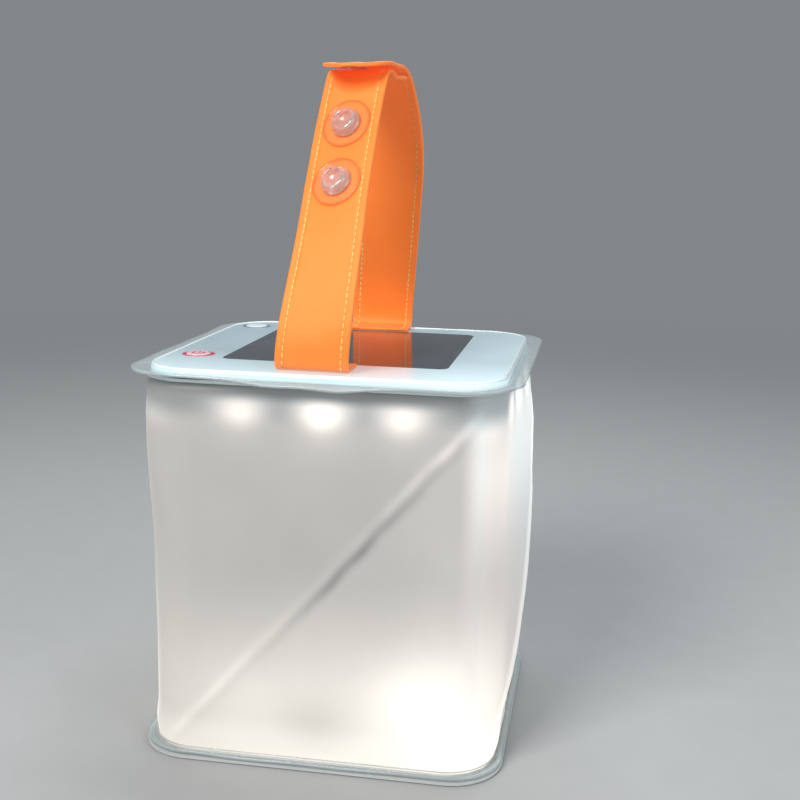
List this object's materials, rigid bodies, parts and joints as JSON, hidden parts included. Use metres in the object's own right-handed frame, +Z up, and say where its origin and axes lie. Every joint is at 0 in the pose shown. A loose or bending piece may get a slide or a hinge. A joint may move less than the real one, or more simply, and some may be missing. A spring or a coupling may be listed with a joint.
{
  "type": "solar lantern",
  "caption": "Inflatable cube lantern with a frosted film body that folds flat, a solar top plate with lamps under it, and a snap strap to hang it by.",
  "frame": {"origin": "centre of the underside, where the inflated lantern stands", "axes": "+X to the right seen from the snap side of the strap, +Y to the rear, +Z up through the solar plate"},
  "size_m": [0.154, 0.154, 0.2743],
  "materials": {
    "film_frosted": "satin",
    "film_clear": "gloss",
    "plate_white": "satin",
    "panel_dark": "gloss",
    "panel_clear": "gloss",
    "button_white": "satin",
    "button_grey": "satin",
    "ring_red": "satin",
    "ring_grey": "satin",
    "webbing_orange": "matte",
    "snap_clear": "gloss",
    "housing_grey": "matte",
    "cover_frosted": "satin",
    "gasket_black": "matte",
    "board_green": "satin",
    "chip_black": "matte",
    "switch_metal": "satin",
    "cell_foil": "satin",
    "foam_grey": "matte",
    "lamp_yellow": "gloss",
    "screw_steel": "satin",
    "wire_red": "satin",
    "valve_clear": "gloss"
  },
  "bodies": {
    "base": {"bottom_sheet": "film_frosted", "valve_body": "valve_clear"},
    "valve_cap": {"valve_cap": "valve_clear"},
    "check_flap": {"check_flap": "valve_clear"},
    "lower_hem": {"lower_weld_ring": "film_clear", "side_wall": "film_frosted", "side_seam": "film_frosted"},
    "top_unit": {"upper_weld_ring": "film_clear", "top_film": "film_clear", "top_plate": "plate_white", "panel_backing": "panel_dark", "solar_cells": "panel_dark", "panel_cover": "panel_clear", "power_button_ring": "ring_red", "charge_button_ring": "ring_grey", "seal_gasket": "gasket_black", "housing_tray": "housing_grey", "housing_screws": "screw_steel", "circuit_board": "board_green", "board_components": "chip_black", "push_switches": "switch_metal", "battery_cell": "cell_foil", "battery_pad": "foam_grey", "led_board": "board_green", "leds": "lamp_yellow", "led_cover": "cover_frosted", "solar_leads": "wire_red", "battery_leads": "wire_red", "led_leads": "wire_red", "front_strap_foot": "webbing_orange", "rear_strap_foot": "webbing_orange"},
    "power_button": {"power_button": "button_white"},
    "charge_button": {"charge_button": "button_grey"},
    "strap_front": {"front_webbing": "webbing_orange", "snap_domes": "snap_clear", "snap_backs": "snap_clear", "closure_stud": "snap_clear"},
    "strap_rear": {"rear_webbing": "webbing_orange"},
    "strap_tongue": {"tongue_webbing": "webbing_orange", "tongue_socket": "snap_clear", "tongue_cap": "snap_clear"}
  },
  "joints": [
    {"name": "fold_twist", "type": "hinge", "parent": "base", "child": "lower_hem", "pos_m": [0, 0, 0.0013], "axis": [0, 0, 1], "range_deg": [0, 90]},
    {"name": "collapse", "type": "slide", "parent": "lower_hem", "child": "top_unit", "axis": [0, 0, 1], "range_m": [-0.12, 0], "deforming": ["side_wall", "side_seam"]},
    {"name": "power_button_press", "type": "slide", "parent": "top_unit", "child": "power_button", "axis": [0, 0, -1], "range_m": [0, 0.0008], "stiffness_N_per_m": 400, "springref_m": -0.0006},
    {"name": "charge_button_press", "type": "slide", "parent": "top_unit", "child": "charge_button", "axis": [0, 0, -1], "range_m": [0, 0.0008], "stiffness_N_per_m": 400, "springref_m": -0.0006},
    {"name": "valve_cap_open", "type": "hinge", "parent": "base", "child": "valve_cap", "pos_m": [0, -0.0284, 0.0003], "axis": [1, 0, 0], "range_deg": [0, 100]},
    {"name": "check_flap_open", "type": "hinge", "parent": "base", "child": "check_flap", "pos_m": [0, -0.0296, 0.0093], "axis": [-1, 0, 0], "range_deg": [0, 35], "stiffness_Nm_per_rad": 0.00002, "springref_deg": -11.46},
    {"name": "strap_rear_swing", "type": "hinge", "parent": "top_unit", "child": "strap_rear", "pos_m": [0, 0.066, 0.158], "axis": [-1, 0, 0], "range_deg": [0, 110]},
    {"name": "strap_front_swing", "type": "hinge", "parent": "top_unit", "child": "strap_front", "pos_m": [0, -0.061, 0.158], "axis": [1, 0, 0], "range_deg": [0, 110]},
    {"name": "tongue_lift", "type": "hinge", "parent": "strap_rear", "child": "strap_tongue", "pos_m": [0, 0.0055, 0.2728], "axis": [-1, 0, 0], "range_deg": [0, 70]}
  ],
  "couplings": [
    {"joint": "fold_twist", "follows": "collapse", "rad_per_m": -13.09},
    {"joint": "strap_front_swing", "follows": "strap_rear_swing", "ratio": 1}
  ]
}
